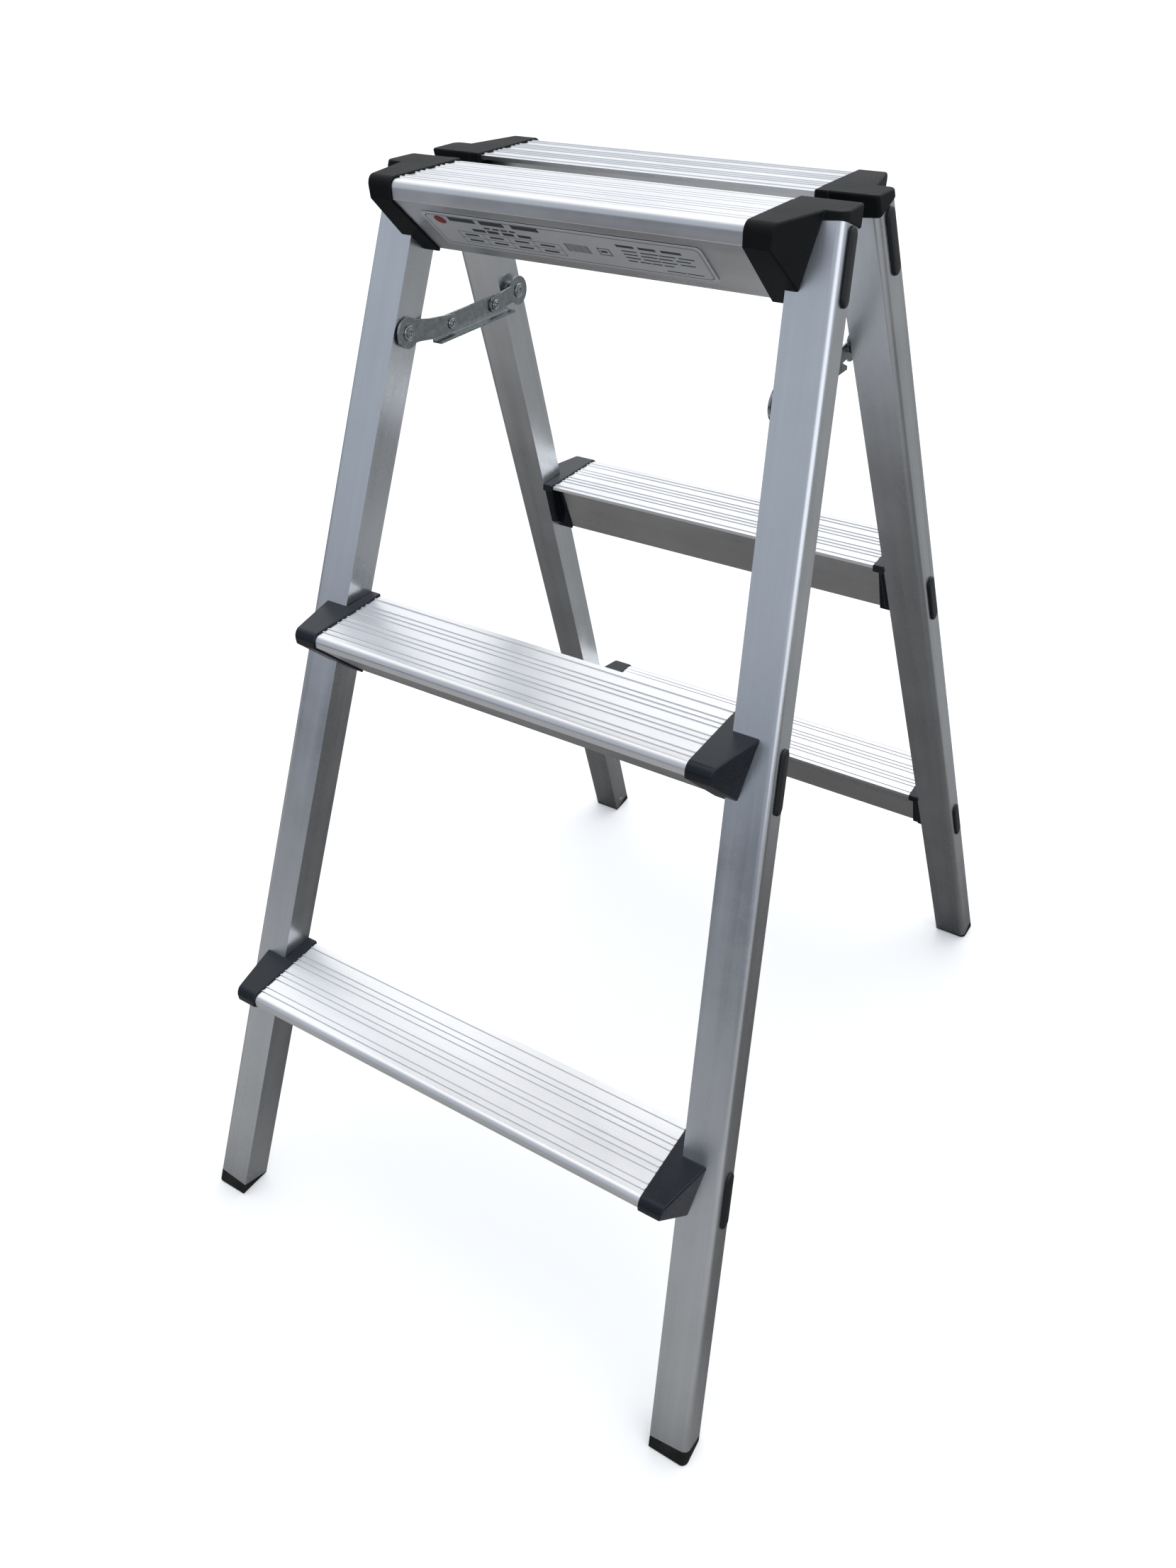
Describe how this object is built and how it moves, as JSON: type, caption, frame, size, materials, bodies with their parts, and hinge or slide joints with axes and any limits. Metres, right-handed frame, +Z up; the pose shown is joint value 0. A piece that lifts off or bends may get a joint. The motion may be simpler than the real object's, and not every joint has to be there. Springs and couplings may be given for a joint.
{
  "type": "step ladder",
  "caption": "Double-sided folding aluminium step ladder: splayed box rails, ribbed treads with moulded end caps, rubber feet and folding steel stays under the platform.",
  "frame": {"origin": "on the floor, under the middle of the open ladder", "axes": "+X along the treads, -Y out of the front frame, +Z up"},
  "size_m": [0.4716, 0.6518, 0.7915],
  "materials": {
    "rail_aluminium": "satin extruded aluminium",
    "tread_aluminium": "satin extruded aluminium, ribbed on top",
    "cap_plastic": "satin black moulded plastic",
    "plug_plastic": "satin black moulded plastic",
    "foot_rubber": "matt black rubber",
    "stay_steel": "zinc-plated steel strip",
    "rivet_steel": "zinc-plated steel",
    "label_foil": "printed silver foil"
  },
  "bodies": {
    "front_frame": {"front_right_rail": "rail_aluminium", "front_right_foot": "foot_rubber", "front_right_bottom_end_cap": "cap_plastic", "front_right_bottom_plug": "plug_plastic", "front_right_middle_end_cap": "cap_plastic", "front_right_middle_plug": "plug_plastic", "front_right_top_end_cap": "cap_plastic", "front_right_top_plug": "plug_plastic", "front_left_rail": "rail_aluminium", "front_left_foot": "foot_rubber", "front_left_bottom_end_cap": "cap_plastic", "front_left_bottom_plug": "plug_plastic", "front_left_middle_end_cap": "cap_plastic", "front_left_middle_plug": "plug_plastic", "front_left_top_end_cap": "cap_plastic", "front_left_top_plug": "plug_plastic", "front_bottom_tread": "tread_aluminium", "front_middle_tread": "tread_aluminium", "front_top_tread": "tread_aluminium", "right_stay_front_pivot_rivet": "rivet_steel", "left_stay_front_pivot_rivet": "rivet_steel", "rating_label": "label_foil", "right_hinge_pin": "rivet_steel", "left_hinge_pin": "rivet_steel"},
    "rear_frame": {"rear_right_rail": "rail_aluminium", "rear_right_foot": "foot_rubber", "rear_right_bottom_end_cap": "cap_plastic", "rear_right_bottom_plug": "plug_plastic", "rear_right_middle_end_cap": "cap_plastic", "rear_right_middle_plug": "plug_plastic", "rear_right_top_end_cap": "cap_plastic", "rear_right_top_plug": "plug_plastic", "rear_left_rail": "rail_aluminium", "rear_left_foot": "foot_rubber", "rear_left_bottom_end_cap": "cap_plastic", "rear_left_bottom_plug": "plug_plastic", "rear_left_middle_end_cap": "cap_plastic", "rear_left_middle_plug": "plug_plastic", "rear_left_top_end_cap": "cap_plastic", "rear_left_top_plug": "plug_plastic", "rear_bottom_tread": "tread_aluminium", "rear_middle_tread": "tread_aluminium", "rear_top_tread": "tread_aluminium", "right_stay_rear_pivot_rivet": "rivet_steel", "left_stay_rear_pivot_rivet": "rivet_steel"},
    "right_stay_front_link": {"right_stay_front_link": "stay_steel", "right_stay_front_joint_rivet": "rivet_steel"},
    "right_stay_middle_link": {"right_stay_middle_link": "stay_steel"},
    "right_stay_rear_link": {"right_stay_rear_link": "stay_steel", "right_stay_rear_joint_rivet": "rivet_steel"},
    "left_stay_front_link": {"left_stay_front_link": "stay_steel", "left_stay_front_joint_rivet": "rivet_steel"},
    "left_stay_middle_link": {"left_stay_middle_link": "stay_steel"},
    "left_stay_rear_link": {"left_stay_rear_link": "stay_steel", "left_stay_rear_joint_rivet": "rivet_steel"}
  },
  "joints": [
    {"name": "frame_fold", "type": "hinge", "parent": "front_frame", "child": "rear_frame", "pos_m": [0, 0, 0.77], "axis": [-1, 0, 0], "range_deg": [0, 40.1]},
    {"name": "right_stay_front_turn", "type": "hinge", "parent": "front_frame", "child": "right_stay_front_link", "pos_m": [0.136, -0.0615, 0.689], "axis": [-1, 0, 0], "range_deg": [0, 92]},
    {"name": "right_stay_middle_turn", "type": "hinge", "parent": "right_stay_front_link", "child": "right_stay_middle_link", "pos_m": [0.136, -0.0202, 0.6856], "axis": [1, 0, 0], "range_deg": [0, 83.4]},
    {"name": "right_stay_rear_turn", "type": "hinge", "parent": "rear_frame", "child": "right_stay_rear_link", "pos_m": [0.136, 0.0615, 0.689], "axis": [1, 0, 0], "range_deg": [0, 104.9]},
    {"name": "left_stay_front_turn", "type": "hinge", "parent": "front_frame", "child": "left_stay_front_link", "pos_m": [-0.136, -0.0615, 0.689], "axis": [-1, 0, 0], "range_deg": [0, 92]},
    {"name": "left_stay_middle_turn", "type": "hinge", "parent": "left_stay_front_link", "child": "left_stay_middle_link", "pos_m": [-0.136, -0.0202, 0.6856], "axis": [1, 0, 0], "range_deg": [0, 83.4]},
    {"name": "left_stay_rear_turn", "type": "hinge", "parent": "rear_frame", "child": "left_stay_rear_link", "pos_m": [-0.136, 0.0615, 0.689], "axis": [1, 0, 0], "range_deg": [0, 104.9]}
  ],
  "couplings": [
    {"joint": "right_stay_front_turn", "follows": "frame_fold", "ratio": 2.294},
    {"joint": "right_stay_middle_turn", "follows": "frame_fold", "ratio": 2.078},
    {"joint": "right_stay_rear_turn", "follows": "frame_fold", "ratio": 2.615},
    {"joint": "left_stay_front_turn", "follows": "frame_fold", "ratio": 2.294},
    {"joint": "left_stay_middle_turn", "follows": "frame_fold", "ratio": 2.078},
    {"joint": "left_stay_rear_turn", "follows": "frame_fold", "ratio": 2.615}
  ]
}
